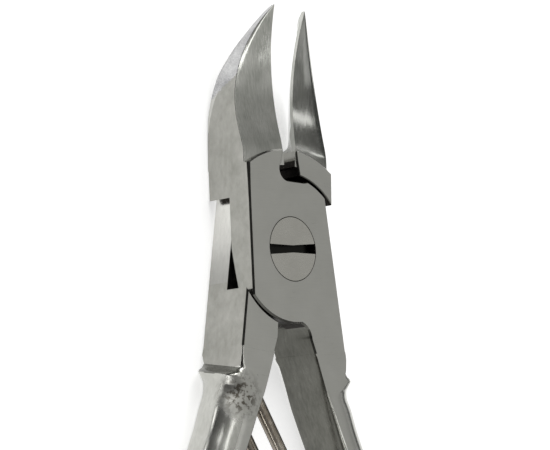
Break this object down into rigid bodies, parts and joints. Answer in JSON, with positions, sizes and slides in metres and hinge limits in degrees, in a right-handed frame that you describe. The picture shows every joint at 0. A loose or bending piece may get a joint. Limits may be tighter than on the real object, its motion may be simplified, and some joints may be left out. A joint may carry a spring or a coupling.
{
  "type": "spring-opened nail and hoof nipper",
  "caption": "Small steel nipper with a screwed lap joint, pointed concave cutting jaws, round handles and a wire spring that opens them.",
  "frame": {"origin": "pivot axis of the joint where it meets the flat back of the tool", "axes": "+Z along the pivot axis towards the screw head, +Y towards the jaw tips, +X towards the front arm's handle side"},
  "size_m": [0.0564, 0.1449, 0.0078],
  "materials": {
    "arm_steel": "satin ground flats, polished edges and handles",
    "screw_steel": "satin ground flush with the joint",
    "spring_steel": "drawn wire"
  },
  "bodies": {
    "back_arm": {"back_arm": "arm_steel", "pivot_screw": "screw_steel", "spring_roots": "spring_steel"},
    "front_arm": {"front_arm": "arm_steel"},
    "spring": {"spring": "spring_steel"}
  },
  "joints": [
    {"name": "pivot", "type": "hinge", "parent": "back_arm", "child": "front_arm", "pos_m": [0, 0, 0], "axis": [0, 0, 1], "range_deg": [-9.9, 10], "stiffness_Nm_per_rad": 2},
    {"name": "spring_flex", "type": "hinge", "parent": "back_arm", "child": "spring", "pos_m": [-0.0056, -0.0191, 0], "axis": [0, 0, 1], "range_deg": [-16, 16]}
  ],
  "couplings": [
    {"joint": "spring_flex", "follows": "pivot", "ratio": 1.375}
  ]
}
